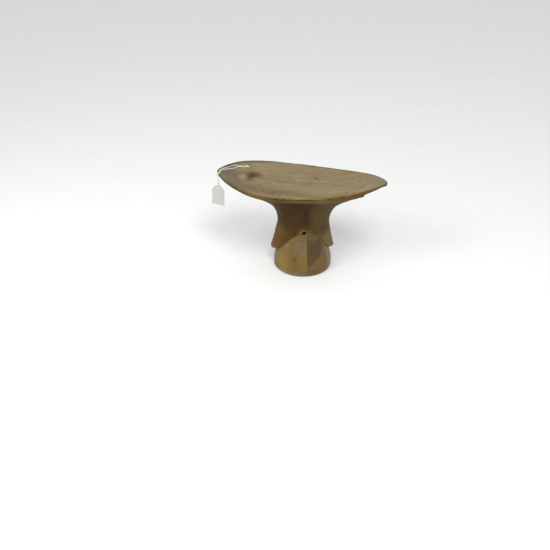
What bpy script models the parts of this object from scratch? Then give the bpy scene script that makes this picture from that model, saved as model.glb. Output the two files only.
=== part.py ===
"""A carved wooden headrest with a blank paper ticket hanging from one tip.

The headrest is cut from one block: a round foot, a skirt whose two side lugs overhang the foot,
a stout neck, and a long leaf-shaped platform that is hollowed a little on top. A cotton string is
threaded through the ticket, laid over the left tip and knotted on top of the platform.

Metres, +Z up. The origin is the middle of the foot's flat base; +X runs to the more pointed tip.
"""

import math

import bmesh
import bpy
from mathutils import Matrix, Vector

# Platform seen from above: two fair curves that meet at the widest place
LEFT_TIP_X = -0.1186
RIGHT_TIP_X = 0.1095
WIDEST_X = -0.040
HALF_WIDTH = 0.0555
LEFT_POWER = 1.40          # a larger power gives a sharper tip
RIGHT_POWER = 1.30
LEFT_TIP_LEAN = 0.0042     # how far the left tip leans to the far side

# Platform seen from the side
RIM_LOW_Z = 0.1263         # top of the rim at mid length
RIM_RISE = 0.0070          # how much higher the rim is at the tips
RIM_RISE_REACH = 0.112     # distance from the axis where that rise is complete
RIM_THICK_MID = 0.0060
RIM_THICK_LEFT = 0.0032    # at the left tip
RIM_THICK_RIGHT = 0.0084   # towards the right tip, where the rim is whole
RIM_ROUND = 0.0009
DISH_DEPTH = 0.0035        # how far the middle of the top lies below the rim
CHIP_X = 0.0815            # right of this the near rim has lost its lower edge
CHIP_THICK = 0.0058        # of the rim just right of the chip
CHIP_THICK_TIP = 0.0026    # and at the right tip
CHIP_FADE = 0.006          # how far round the right tip the loss dies out

# Neck
WAIST_Z = 0.069
WAIST_HALF_LONG = 0.0357   # half width along X
WAIST_HALF_SHORT = 0.0312  # half depth along Y
FLARE_POWER = 0.42         # a small power turns the neck out sharply under the platform
FLARE_CROWDING = 2.3       # how much closer the flare's rings stand at the neck

# Skirt: its lower edge runs from a peak at front and back down to a lug on each side
PEAK_Z = 0.0622
PEAK_TURN = math.radians(84)
LEFT_LUG_Z = 0.0214
RIGHT_LUG_Z = 0.0284
LEFT_SWAY = 0.5            # 0 would make the left edge climb evenly; more makes it an S
RIGHT_STEP_START = 0.08    # on the right the edge climbs fast between these shares of the way
RIGHT_STEP_END = 0.50
RIGHT_STEP_PART = 0.60     # and this part of its height is climbed there
LEFT_LUG_RISE = 0.0006     # how much the lug's lower face rises outwards
RIGHT_LUG_RISE = 0.0034
LEFT_OVERHANG = 0.0076
RIGHT_OVERHANG = 0.0074
LEFT_FADE = 2.2            # how quickly the overhang dies out away from the lugs
RIGHT_FADE = 3.0
LEAST_OVERHANG = 0.0004
LEFT_LIP = 0.0030          # height of the lug's upright lip
RIGHT_LIP = 0.0012
SKIRT_POWER = 1.4          # how the skirt draws in from its lip to the waist

# Foot
FOOT_RADIUS = 0.0399
FOOT_CORE = 0.0290         # the radius that the foot tends to as it rises
FOOT_TAPER = 0.0241
FOOT_WIDEST_Z = 0.008
FOOT_EDGE = 0.0010

# Small blind hole in the front, where the neck meets the foot
HOLE_TURN = math.radians(-81)
HOLE_Z = 0.0640
HOLE_RADIUS = 0.0016
HOLE_DEPTH = 0.0080
HOLE_SIDES = 12

# Mesh of the carving
COLUMNS = 84
COLUMN_CROWDING = 0.80     # how much closer the columns stand at the tips
FOOT_STEPS = (0.12, 0.3, 0.5, 0.7, 0.86, 1.0)
SKIRT_STEPS = (0.0, 0.2, 0.42, 0.66, 0.86)
FLARE_RINGS = 9
TOP_STEPS = (0.97, 0.88, 0.72, 0.5, 0.25)

# String and ticket
STRING_DIAMETER = 0.0011
STRING_STEP = 2 * STRING_DIAMETER
LAID_GAP = 0.0005          # string above the faceted top of the platform
TURN_GAP = 0.0010          # room between string ends that turn against each other
TAIL_SPACING = 0.0016      # between the two strands beside the knot
RIM_BEND = 0.0024          # radius of the string's bend over the rim
RIM_STAND_OFF = 0.0009     # the hanging strands' distance from the rim
KNOT_RADII = (0.0023, 0.0017, 0.0014)
KNOT_PLACE = (-0.0821, 0.0236)
KNOT_HEADING = math.radians(16)

TICKET_WIDTH = 0.0190
TICKET_HEIGHT = 0.0286
TICKET_THICKNESS = 0.00035
TICKET_TOP_WIDTH = 0.0072
TICKET_SHOULDER = 0.0070
TICKET_HOLE_RADIUS = 0.0015
TICKET_HOLE_SIDES = 16
TICKET_HOLE_DEPTH = 0.0031  # hole's middle below the ticket's top edge
TICKET_HEADING = math.radians(-18.5)
THREAD_Z = 0.1130          # where the string passes through the ticket
THREAD_RISE = 0.0006       # of the string above the middle of the ticket's hole
LOOP_BEND = 0.0024         # radius of the string's bend through the ticket

# Routes, seen from above: from the knot's tail to the rim
TAIL_PLACES = (-0.0028, -0.0065, -0.0110)
REAR_ROUTE = (
    (-0.0953, 0.0226),
    (-0.0986, 0.0221),
    (-0.1022, 0.0182),
    (-0.1060, 0.0134),
    (-0.1104, 0.0085),
    (-0.1136, 0.0030),
)
FRONT_ROUTE = (
    (-0.0948, 0.0160),
    (-0.0994, 0.0117),
    (-0.1052, 0.0080),
    (-0.1100, 0.0047),
    (-0.1127, 0.0000),
)
REAR_CROSSING_Y = -0.0056
FRONT_CROSSING_Y = -0.0084
# The rear leg of the hanging loop, from the thread: across the ticket, in front of it, up
LOOP_LEG = (
    (-0.0012, -0.0026, 0.0090),
    (-0.0008, -0.0026, 0.0056),
)


def clamp(value):
    return min(1.0, max(0.0, value))


def material(name, colour, roughness):
    made = bpy.data.materials.new(name)
    made.use_nodes = True
    shader = made.node_tree.nodes["Principled BSDF"]
    shader.inputs["Base Color"].default_value = (*colour, 1.0)
    shader.inputs["Roughness"].default_value = roughness
    shader.inputs["Metallic"].default_value = 0.0
    return made


def add_object(name, data, finish, parent=None):
    made = bpy.data.objects.new(name, data)
    made.data.materials.append(finish)
    made.parent = parent
    bpy.context.scene.collection.objects.link(made)
    return made


# ---------------------------------------------------------------- the carving


def lean(x):
    """How far the platform's middle line lies to the far side: only its left end leans."""
    along = max(0.0, (WIDEST_X - x) / (WIDEST_X - LEFT_TIP_X))
    return LEFT_TIP_LEAN * along**3


def outline_point(turn):
    """A point of the platform's edge; turn runs from the right tip round the far side and back."""
    cosine = math.cos(turn)
    sine = math.sin(turn)
    right = cosine > 0
    reach = RIGHT_TIP_X - WIDEST_X if right else WIDEST_X - LEFT_TIP_X
    power = RIGHT_POWER if right else LEFT_POWER
    x = WIDEST_X + reach * cosine
    return Vector((x, lean(x) + math.copysign(HALF_WIDTH * abs(sine) ** power, sine), 0))


def platform_radius(direction):
    """Distance from the axis to the platform's outline."""
    wanted = direction % math.tau
    low = 0.0
    high = math.tau
    for _ in range(45):
        middle = (low + high) / 2
        point = outline_point(middle)
        if math.atan2(point.y, point.x) % math.tau < wanted:
            low = middle
        else:
            high = middle
    return outline_point(low).length


def tip_share(x):
    """0 at mid length and 1 near the tips."""
    return clamp(abs(x) / RIM_RISE_REACH)


def rim_top(x):
    return RIM_LOW_Z + RIM_RISE * math.sin(tip_share(x) * math.pi / 2) ** 4


def rim_thickness(x, y):
    swing = tip_share(x) * math.pi / 2
    if x < 0:
        return RIM_THICK_LEFT + (RIM_THICK_MID - RIM_THICK_LEFT) * math.cos(swing)
    whole = RIM_THICK_MID + (RIM_THICK_RIGHT - RIM_THICK_MID) * math.sin(swing)
    if x < CHIP_X:
        return whole
    chipped = CHIP_THICK + (CHIP_THICK_TIP - CHIP_THICK) * (x - CHIP_X) / (RIGHT_TIP_X - CHIP_X)
    near_side = clamp(0.5 - y / CHIP_FADE)
    return whole + (chipped - whole) * near_side


def top_height(x, y):
    """The hollowed top of the platform."""
    share = math.hypot(x, y) / platform_radius(math.atan2(y, x))
    return rim_top(x) - DISH_DEPTH * (1 - share**2)


def foot_radius(z):
    rise = max(0.0, z - FOOT_WIDEST_Z) / FOOT_TAPER
    return FOOT_CORE + (FOOT_RADIUS - FOOT_CORE) / (1 + rise**2)


def waist_radius(direction):
    long_part = math.cos(direction) / WAIST_HALF_LONG
    short_part = math.sin(direction) / WAIST_HALF_SHORT
    return 1 / math.hypot(long_part, short_part)


def skirt_side(direction):
    """Whether a direction is on the right, and its share of the way from the lug to the peak."""
    turn = abs(math.atan2(math.sin(direction), math.cos(direction)))
    right = turn < PEAK_TURN
    return right, turn / PEAK_TURN if right else (math.pi - turn) / (math.pi - PEAK_TURN)


def skirt_edge(direction):
    """Height of the skirt's lower edge: a gentle S on the left, a step on the right."""
    right, share = skirt_side(direction)
    if right:
        step = clamp((share - RIGHT_STEP_START) / (RIGHT_STEP_END - RIGHT_STEP_START))
        step = step * step * (3 - 2 * step)
        climb = RIGHT_STEP_PART * step + (1 - RIGHT_STEP_PART) * share
        return RIGHT_LUG_Z + (PEAK_Z - RIGHT_LUG_Z) * climb
    climb = share - LEFT_SWAY * math.sin(math.tau * share) / math.tau
    return LEFT_LUG_Z + (PEAK_Z - LEFT_LUG_Z) * climb


def foot_profile(edge_height):
    points = [(FOOT_RADIUS - 2 * FOOT_EDGE, 0.0), (FOOT_RADIUS - FOOT_EDGE / 2, FOOT_EDGE)]
    for step in FOOT_STEPS:
        z = FOOT_EDGE + (edge_height - FOOT_EDGE) * step
        points.append((foot_radius(z), z))
    return points


def skirt_profile(direction):
    """From the skirt's lower face out to its lip, and up to just below the waist."""
    right, share = skirt_side(direction)
    fade = (1 - share) ** (RIGHT_FADE if right else LEFT_FADE)
    overhang = LEAST_OVERHANG + (RIGHT_OVERHANG if right else LEFT_OVERHANG) * fade
    edge = skirt_edge(direction)
    lower_z = edge + (RIGHT_LUG_RISE if right else LEFT_LUG_RISE) * fade
    lip_z = lower_z + LEAST_OVERHANG + (RIGHT_LIP if right else LEFT_LIP) * fade
    lip = foot_radius(edge) + overhang
    waist = waist_radius(direction)
    points = [(lip - overhang / 5, lower_z), (lip - overhang / 20, (2 * lower_z + lip_z) / 3)]
    for step in SKIRT_STEPS:
        narrowing = (1 - step) ** SKIRT_POWER
        points.append((waist + (lip - waist) * narrowing, lip_z + (WAIST_Z - lip_z) * step))
    return points


def flare_profile(direction):
    """From the waist out along the underside to the rim, and round its edge to the top."""
    outer = platform_radius(direction)
    x = outer * math.cos(direction)
    y = outer * math.sin(direction)
    top = rim_top(x)
    bottom = top - rim_thickness(x, y)
    waist = waist_radius(direction)
    points = []
    for ring in range(FLARE_RINGS + 1):
        share = (ring / FLARE_RINGS) ** FLARE_CROWDING
        radius = waist + (outer - RIM_ROUND - waist) * share
        points.append((radius, WAIST_Z + (bottom - WAIST_Z) * share**FLARE_POWER))
    points.append((outer, bottom + RIM_ROUND))
    points.append((outer, top - RIM_ROUND))
    points.append((outer - RIM_ROUND / 3, top - RIM_ROUND / 3))
    points.append((outer - RIM_ROUND, top))
    return points


def column(direction):
    """The carving's skin in one vertical half plane, from the base round to the top."""
    profile = foot_profile(skirt_edge(direction)) + skirt_profile(direction) + flare_profile(direction)
    points = [Vector((r * math.cos(direction), r * math.sin(direction), z)) for r, z in profile]
    outer = platform_radius(direction) - RIM_ROUND
    for step in TOP_STEPS:
        x = outer * step * math.cos(direction)
        y = outer * step * math.sin(direction)
        points.append(Vector((x, y, top_height(x, y))))
    return points


def column_directions():
    """Directions round the axis, closer together towards the two tips."""
    even = [2 * math.pi * i / COLUMNS for i in range(COLUMNS)]
    return [turn - COLUMN_CROWDING / 2 * math.sin(2 * turn) for turn in even]


def hole_cutter():
    mesh = bmesh.new()
    inwards = Matrix.Rotation(HOLE_TURN, 4, "Z") @ Matrix.Rotation(math.pi / 2, 4, "Y")
    mouth = waist_radius(HOLE_TURN)
    middle = Vector((mouth * math.cos(HOLE_TURN), mouth * math.sin(HOLE_TURN), HOLE_Z))
    bmesh.ops.create_cone(
        mesh,
        cap_ends=True,
        segments=HOLE_SIDES,
        radius1=HOLE_RADIUS,
        radius2=HOLE_RADIUS,
        depth=2 * HOLE_DEPTH,
        matrix=Matrix.Translation(middle) @ inwards,
    )
    data = bpy.data.meshes.new("hole_cutter")
    mesh.to_mesh(data)
    mesh.free()
    cutter = bpy.data.objects.new("hole_cutter", data)
    cutter.hide_render = True
    cutter.display_type = "WIRE"
    bpy.context.scene.collection.objects.link(cutter)
    return cutter


def carving(finish):
    mesh = bmesh.new()
    columns = [[mesh.verts.new(p) for p in column(turn)] for turn in column_directions()]
    base_middle = mesh.verts.new((0, 0, 0))
    top_middle = mesh.verts.new((0, 0, top_height(0, 0)))
    for i, here in enumerate(columns):
        following = columns[(i + 1) % COLUMNS]
        mesh.faces.new((base_middle, following[0], here[0]))
        mesh.faces.new((top_middle, here[-1], following[-1]))
        for low in range(len(here) - 1):
            mesh.faces.new((here[low], following[low], following[low + 1], here[low + 1]))
    data = bpy.data.meshes.new("carved_headrest")
    mesh.to_mesh(data)
    mesh.free()
    data.shade_smooth()
    data.set_sharp_from_angle(angle=math.radians(35))
    made = add_object("carved_headrest", data, finish)
    cut = made.modifiers.new("front_hole", "BOOLEAN")
    cut.operation = "DIFFERENCE"
    cut.solver = "EXACT"
    cut.object = hole_cutter()
    return made


# ---------------------------------------------------------------- string and ticket


def smooth_line(route, step):
    """Points about a step apart on a smooth curve through the route's points."""
    points = [route[0]] + list(route) + [route[-1]]
    dense = []
    for a, b, c, d in zip(points, points[1:], points[2:], points[3:]):
        pieces = 12
        for i in range(pieces):
            t = i / pieces
            bend = (2 * a - 5 * b + 4 * c - d) * t**2 + (3 * b - a - 3 * c + d) * t**3
            dense.append(b + ((c - a) * t + bend) / 2)
    dense.append(route[-1])
    lengths = [0.0]
    for a, b in zip(dense, dense[1:]):
        lengths.append(lengths[-1] + (b - a).length)
    count = max(2, round(lengths[-1] / step) + 1)
    line = []
    at = 0
    for i in range(count):
        wanted = lengths[-1] * i / (count - 1)
        while at < len(dense) - 2 and lengths[at + 1] < wanted:
            at += 1
        share = (wanted - lengths[at]) / (lengths[at + 1] - lengths[at])
        line.append(dense[at].lerp(dense[at + 1], share))
    return line


def string_object(name, line, finish, parent=None):
    """A round string along a line, which is given in world coordinates."""
    origin = parent.matrix_world.translation if parent else Vector()
    data = bpy.data.curves.new(name, "CURVE")
    data.dimensions = "3D"
    data.bevel_depth = STRING_DIAMETER / 2
    data.bevel_resolution = 2
    data.use_fill_caps = True
    spline = data.splines.new("POLY")
    spline.points.add(len(line) - 1)
    for point, place in zip(spline.points, line):
        point.co = (*(place - origin), 1.0)
    return add_object(name, data, finish, parent)


def laid(x, y):
    """The middle of the string where it lies on top of the platform."""
    return Vector((x, y, top_height(x, y) + STRING_DIAMETER / 2 + LAID_GAP))


def beside_knot(forward, side):
    """A place beside the knot; forward runs along the two strands' shared tail."""
    x = KNOT_PLACE[0] + forward * math.cos(KNOT_HEADING) - side * math.sin(KNOT_HEADING)
    y = KNOT_PLACE[1] + forward * math.sin(KNOT_HEADING) + side * math.cos(KNOT_HEADING)
    return laid(x, y)


def rim_crossing(y):
    """The near rim's outer edge at a place near the left tip, and the way straight out of it."""
    low = math.pi
    high = 1.5 * math.pi
    for _ in range(40):
        middle = (low + high) / 2
        if outline_point(middle).y > y:
            low = middle
        else:
            high = middle
    along = outline_point(low + 0.01) - outline_point(low - 0.01)
    return outline_point(low), Vector((along.y, -along.x, 0)).normalized()


def bend_middle(y):
    """The middle of the string's quarter bend over the rim."""
    edge, outwards = rim_crossing(y)
    middle = edge + outwards * (RIM_STAND_OFF - RIM_BEND)
    middle.z = rim_top(edge.x) + STRING_DIAMETER / 2 + LAID_GAP - RIM_BEND
    return middle


def over_rim(y):
    """The string's quarter bend over the rim, from the top of the platform to hanging."""
    _, outwards = rim_crossing(y)
    middle = bend_middle(y)
    points = []
    for turn in (0, 30, 60, 90):
        angle = math.radians(turn)
        upwards = Vector((0, 0, RIM_BEND * math.cos(angle)))
        points.append(middle + outwards * RIM_BEND * math.sin(angle) + upwards)
    return points


def hanging_start(y, z):
    """Where a strand hangs beside the rim at a height."""
    edge, outwards = rim_crossing(y)
    place = edge + outwards * RIM_STAND_OFF
    place.z = z
    return place


def thread_place():
    """Where the string passes through the ticket: straight below where it leaves the rim."""
    rear, front = (hanging_start(y, THREAD_Z) for y in (REAR_CROSSING_Y, FRONT_CROSSING_Y))
    return (rear + front) / 2


def ticket_place(across, forward, up):
    """World coordinates of a place given from the thread: across the ticket, in front of it, up."""
    side = Vector((math.cos(TICKET_HEADING), math.sin(TICKET_HEADING), 0))
    front = Vector((side.y, -side.x, 0))
    return thread_place() + side * across + front * forward + Vector((0, 0, up))


def loop_route(rear_start, front_start):
    """Down behind the ticket, round through its hole to the front, and up again."""
    rear_leg = [ticket_place(*place) for place in LOOP_LEG]
    front_leg = [ticket_place(-across, -forward, up) for across, forward, up in reversed(LOOP_LEG)]
    bend = []
    for turn in (-90, -60, -30, 0, 30, 60, 90):
        angle = math.radians(turn)
        bend.append(ticket_place(0, LOOP_BEND * math.sin(angle), LOOP_BEND * (1 - math.cos(angle))))
    return [rear_start] + rear_leg + bend + front_leg + [front_start]


def ticket(finish, pivot):
    """A card with cut top corners and a round hole, standing on edge under its string."""
    hole_up = -THREAD_RISE
    top = hole_up + TICKET_HOLE_DEPTH
    half = TICKET_WIDTH / 2
    half_top = TICKET_TOP_WIDTH / 2
    outline = (
        (-half, top - TICKET_HEIGHT),
        (half, top - TICKET_HEIGHT),
        (half, top - TICKET_SHOULDER),
        (half_top, top),
        (-half_top, top),
        (-half, top - TICKET_SHOULDER),
    )
    rim = []
    for i in range(TICKET_HOLE_SIDES):
        angle = 2 * math.pi * i / TICKET_HOLE_SIDES
        rim.append((TICKET_HOLE_RADIUS * math.cos(angle), hole_up + TICKET_HOLE_RADIUS * math.sin(angle)))
    mesh = bmesh.new()
    edges = []
    for ring in (outline, rim):
        corners = [mesh.verts.new(ticket_place(across, -TICKET_THICKNESS / 2, up)) for across, up in ring]
        for a, b in zip(corners, corners[1:] + corners[:1]):
            edges.append(mesh.edges.new((a, b)))
    filled = bmesh.ops.triangle_fill(mesh, edges=edges, use_beauty=True, use_dissolve=False)
    faces = [piece for piece in filled["geom"] if isinstance(piece, bmesh.types.BMFace)]
    raised = bmesh.ops.extrude_face_region(mesh, geom=faces)
    front = ticket_place(0, TICKET_THICKNESS, 0) - ticket_place(0, 0, 0)
    bmesh.ops.translate(mesh, vec=front, verts=[v for v in raised["geom"] if isinstance(v, bmesh.types.BMVert)])
    bmesh.ops.recalc_face_normals(mesh, faces=mesh.faces)
    bmesh.ops.translate(mesh, vec=-thread_place(), verts=mesh.verts)
    data = bpy.data.meshes.new("paper_ticket")
    mesh.to_mesh(data)
    mesh.free()
    return add_object("paper_ticket", data, finish, pivot)


def knot(finish):
    """The string's two ends, tied together on top of the platform."""
    mesh = bmesh.new()
    bmesh.ops.create_uvsphere(mesh, u_segments=12, v_segments=8, radius=1.0)
    data = bpy.data.meshes.new("string_knot")
    place = laid(*KNOT_PLACE)
    place.z += KNOT_RADII[2] - STRING_DIAMETER / 2
    turn = Matrix.Rotation(KNOT_HEADING, 4, "Z")
    shape = Matrix.Diagonal((*KNOT_RADII, 1.0))
    bmesh.ops.transform(mesh, matrix=Matrix.Translation(place) @ turn @ shape, verts=mesh.verts)
    mesh.to_mesh(data)
    mesh.free()
    data.shade_smooth()
    return add_object("string_knot", data, finish)


def joint_empty(name, place, parent=None):
    made = bpy.data.objects.new(name, None)
    made.empty_display_size = 0.01
    made.parent = parent
    made.location = place - (parent.matrix_world.translation if parent else Vector())
    bpy.context.scene.collection.objects.link(made)
    bpy.context.view_layer.update()
    return made


def strung_ticket(cotton, card):
    drop_z = rim_top(LEFT_TIP_X) - RIM_THICK_LEFT
    starts = [hanging_start(y, drop_z) for y in (REAR_CROSSING_Y, FRONT_CROSSING_Y)]
    swing = joint_empty("string_swing_axis", (bend_middle(REAR_CROSSING_Y) + bend_middle(FRONT_CROSSING_Y)) / 2)
    pivot = joint_empty("ticket_pivot_axis", thread_place(), swing)
    gap = Vector((0, 0, TURN_GAP / 2))

    strands = (
        ("string_rear_strand", 1, REAR_ROUTE, REAR_CROSSING_Y, starts[0]),
        ("string_front_strand", -1, FRONT_ROUTE, FRONT_CROSSING_Y, starts[1]),
    )
    for name, side, route, crossing_y, start in strands:
        tail = [beside_knot(forward, side * TAIL_SPACING / 2) for forward in TAIL_PLACES]
        top_run = [laid(x, y) for x, y in route]
        line = smooth_line(tail + top_run + over_rim(crossing_y) + [start + gap], STRING_STEP)
        string_object(name, line, cotton)

    loop = smooth_line(loop_route(starts[0] - gap, starts[1] - gap), STRING_STEP)
    string_object("string_hanging_loop", loop, cotton, swing)
    ticket(card, pivot)


def main():
    for old in list(bpy.data.objects):
        bpy.data.objects.remove(old)
    wood = material("carved_wood", (0.24, 0.17, 0.095), 0.55)
    cotton = material("cotton_string", (0.78, 0.76, 0.70), 0.9)
    card = material("plain_card", (0.66, 0.66, 0.64), 0.75)
    carving(wood)
    knot(cotton)
    strung_ticket(cotton, card)


main()
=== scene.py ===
"""The finished look of a carved wooden headrest with a blank paper ticket strung on one tip.

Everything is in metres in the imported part's frame: +Z up, the origin in the middle of the foot's
base, +X towards the more pointed tip. The carving, its string and the ticket are remade here on the
same driving dimensions as the plain solids, with the facets, tool marks and wear that those leave out.
"""

import math
import random

import bmesh
import bpy
import numpy as np
from mathutils import Matrix, Vector, noise
from mathutils.bvhtree import BVHTree


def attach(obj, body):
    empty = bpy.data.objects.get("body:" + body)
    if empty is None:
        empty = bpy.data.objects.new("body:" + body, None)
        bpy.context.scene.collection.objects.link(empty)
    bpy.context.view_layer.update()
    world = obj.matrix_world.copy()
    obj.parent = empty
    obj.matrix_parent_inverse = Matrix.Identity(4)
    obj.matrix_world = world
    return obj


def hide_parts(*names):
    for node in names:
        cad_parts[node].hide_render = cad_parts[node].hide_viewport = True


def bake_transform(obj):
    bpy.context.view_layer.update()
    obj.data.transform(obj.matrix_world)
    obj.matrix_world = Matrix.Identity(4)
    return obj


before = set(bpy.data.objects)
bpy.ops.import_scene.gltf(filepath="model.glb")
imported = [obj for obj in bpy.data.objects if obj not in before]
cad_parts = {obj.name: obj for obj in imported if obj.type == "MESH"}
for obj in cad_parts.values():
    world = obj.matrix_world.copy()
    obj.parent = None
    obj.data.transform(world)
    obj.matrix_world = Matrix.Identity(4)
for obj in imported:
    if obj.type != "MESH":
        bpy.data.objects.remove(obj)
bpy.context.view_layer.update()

# Platform seen from above: two fair curves that meet at the widest place
LEFT_TIP_X = -0.1186
RIGHT_TIP_X = 0.1095
WIDEST_X = -0.040
HALF_WIDTH = 0.0555
LEFT_POWER = 1.40
RIGHT_POWER = 1.30
LEFT_TIP_LEAN = 0.0042

# Platform seen from the side
RIM_LOW_Z = 0.1263
RIM_RISE = 0.0070
RIM_RISE_REACH = 0.112
RIM_THICK_MID = 0.0060
RIM_THICK_LEFT = 0.0032
RIM_THICK_RIGHT = 0.0084
RIM_ROUND = 0.0009
RIM_WEAR = 0.0016          # radius of the rim's worn upper edge
DISH_DEPTH = 0.0035
CHIP_X = 0.0815
CHIP_THICK = 0.0058
CHIP_THICK_TIP = 0.0026
CHIP_FADE = 0.006
DENTS = 34

# Neck
WAIST_Z = 0.069
WAIST_HALF_LONG = 0.0357
WAIST_HALF_SHORT = 0.0312
FLARE_POWER = 0.42
FLARE_CROWDING = 2.3
NECK_ARRISES = (-165, -134, -106, -71, -36, 3, 44, 82, 121, 160)
NECK_FLATNESS = 0.6        # 1 would make the faces between the arrises quite flat

# Skirt
PEAK_Z = 0.0622
PEAK_TURN = math.radians(84)
LEFT_LUG_Z = 0.0214
RIGHT_LUG_Z = 0.0284
LEFT_SWAY = 0.5
RIGHT_STEP_START = 0.08
RIGHT_STEP_END = 0.50
RIGHT_STEP_PART = 0.60
LEFT_LUG_RISE = 0.0006
RIGHT_LUG_RISE = 0.0034
LEFT_OVERHANG = 0.0076
RIGHT_OVERHANG = 0.0074
LEFT_FADE = 2.2
RIGHT_FADE = 3.4
LEAST_OVERHANG = 0.0004
LEFT_LIP = 0.0030
RIGHT_LIP = 0.0012
SKIRT_POWER = 1.4

# Foot
FOOT_RADIUS = 0.0399
FOOT_CORE = 0.0290
FOOT_TAPER = 0.0241
FOOT_WIDEST_Z = 0.008
FOOT_EDGE = 0.0010
FOOT_ARRIS = -74.5           # direction of the upright arris on the foot's front, in degrees

# Holes: direction or place, and size
HOLE_TURN = math.radians(-81)
HOLE_Z = 0.0640
HOLE_RADIUS = 0.0022
HOLE_DEPTH = 0.0080
HOLE_OUT = np.array((math.cos(HOLE_TURN), math.sin(HOLE_TURN), 0.12))   # it climbs a little outwards
WORM_HOLE = (0.0583, -0.0279)
WORM_RADIUS = 0.0012
WORM_DEPTH = 0.0025

# Marks on the top: the knot in the wood, a strip near the rim that is worn bare and also
# carries a painted highlight, and lists of soft spots, each with its place, its half sizes
# and its share
KNOT_MARK = (-0.0825, -0.0060)
KNOT_MARK_HALF = (0.0070, 0.0115)
# the worn strip's pale colour is partly a painted highlight
WORN_STRIP_HIGHLIGHT = (0.0005, -0.0496)
TOP_SHADES = (
    ((-0.054, -0.031), (0.030, 0.015), 0.42),
    ((0.004, -0.040), (0.030, 0.010), 0.24),
    ((0.030, 0.024), (0.026, 0.010), 0.16),
    ((-0.100, 0.002), (0.016, 0.014), 0.22),
    ((-0.012, 0.000), (0.030, 0.007), 0.12),
)

WEDGE = (
    ((-0.0668, 0.0105), (0.0082, 0.0070), 0.95),
    ((-0.0722, -0.0005), (0.0052, 0.0100), 0.80),
)
DARK_MARKS = (
    ((0.0140, 0.0175), (0.0030, 0.0030), 0.42),
    ((0.0190, 0.0120), (0.0024, 0.0016), 0.42),
    ((0.0740, 0.0045), (0.0016, 0.0022), 0.42),
    ((0.0830, 0.0050), (0.0016, 0.0022), 0.42),
    # painted shade inside the worm hole, and a darker ring round its mouth
    (WORM_HOLE, (0.0017, 0.0019), 0.50),
    # a negative share: the worn strip lightened, partly as painted highlight
    (WORN_STRIP_HIGHLIGHT, (0.0078, 0.0012), -0.30),
)
PALE_AND_HIGHLIGHT_MARKS = (
    # a painted highlight beside the knot
    ((-0.0800, -0.0205), (0.0062, 0.0024), 0.75),
    ((-0.0430, 0.0260), (0.0200, 0.0120), 0.28),
    ((-0.0550, -0.0040), (0.0100, 0.0030), 0.35),
    ((0.0710, -0.0262), (0.0100, 0.0024), 0.50),
    (WORN_STRIP_HIGHLIGHT, (0.0078, 0.0011), 0.80),
)
WORN_AND_HIGHLIGHT_MARKS = (
    (WORN_STRIP_HIGHLIGHT, (0.0078, 0.0012), 0.95),
    ((-0.034, -0.047), (0.020, 0.0016), 0.40),
)
GRAIN_BEND = ((KNOT_MARK, (0.014, 0.013), 0.010),)    # in metres, as is the relief
TOP_RELIEF = (
    (KNOT_MARK, KNOT_MARK_HALF, 0.00045),
    ((-0.0685, 0.0070), (0.0070, 0.0070), -0.00060),
    ((0.0710, -0.0330), (0.0100, 0.0022), -0.00050),
)

# String and ticket
STRING_DIAMETER = 0.0011
STRING_LAY = 0.0034        # length of one turn of its two plies
PLY_OFFSET = 0.235         # each ply's distance from the string's middle, as a share of the diameter
PLY_SIDES = 8
STRING_STEP = 0.0002
SPAN_STEPS = 12            # between two places of a route, before its points are spaced evenly
SETTLE_PASSES = 45
KNOT_STEPS = 150
STRAY_FIBRES = 9
TAIL_SPACING = 0.0016
RIM_BEND = 0.0024
RIM_STAND_OFF = 0.0009
KNOT_RADII = (0.0023, 0.0017, 0.0014)
KNOT_PLACE = (-0.0821, 0.0236)
KNOT_HEADING = math.radians(16)
TICKET_WIDTH = 0.0190
TICKET_HEIGHT = 0.0286
TICKET_THICKNESS = 0.00035
TICKET_TOP_WIDTH = 0.0072
TICKET_SHOULDER = 0.0070
TICKET_HOLE_RADIUS = 0.0015
TICKET_HOLE_DEPTH = 0.0031
TICKET_HOLE_SIDES = 28
TICKET_GRID = 0.0008
TICKET_HEADING = math.radians(-18.5)
THREAD_Z = 0.1130
HOLE_MIDDLE = Vector((0, -0.0006, 0))   # from the thread, in the flat card
LOOP_BEND = 0.0024
TAIL_PLACES = (-0.0028, -0.0065, -0.0110)
REAR_ROUTE = (
    (-0.0953, 0.0226),
    (-0.0986, 0.0221),
    (-0.1022, 0.0182),
    (-0.1060, 0.0134),
    (-0.1104, 0.0085),
    (-0.1136, 0.0030),
)
FRONT_ROUTE = (
    (-0.0948, 0.0160),
    (-0.0994, 0.0117),
    (-0.1052, 0.0080),
    (-0.1100, 0.0047),
    (-0.1127, 0.0000),
)
REAR_CROSSING_Y = -0.0056
FRONT_CROSSING_Y = -0.0084
LOOP_LEG = (
    (-0.0012, -0.0026, 0.0090),
    (-0.0008, -0.0026, 0.0056),
)

# Camera and light; each lamp's place, target, width and power
CAMERA_PLACE = (0.0960, -0.9156, 0.5753)
CAMERA_PITCH = math.radians(33.02)
CAMERA_AZIMUTH = math.radians(8.4)
CAMERA_LENS = 50
KEY_LAMP = ((0.24, -0.74, 1.10), (0, 0, 0.06), 0.55, 8.2)
FILL_LAMP = ((-0.46, -0.42, 0.62), (0, 0, 0.05), 0.30, 2.0)
SKY_STRENGTH = 0.79
FLOOR_REACH = 6.0

# Mesh of the carving
OUTLINE_POINTS = 4001
COLUMNS = 420
COLUMN_CROWDING = 0.80
BASE_ROWS = 6
FOOT_ROWS = 34
LEDGE_ROWS = 6
SKIRT_ROWS = 30
FLARE_ROWS = 46
RIM_ROWS = 4
TOP_ROWS = 58


def smooth(value, low, high):
    """0 up to low, 1 from high on, and smooth between them; where high is the lower one, it falls."""
    share = np.clip((value - low) / (high - low), 0, 1)
    return share * share * (3 - 2 * share)


def bell(distance, width):
    return np.exp(-((distance / width) ** 2))


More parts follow.
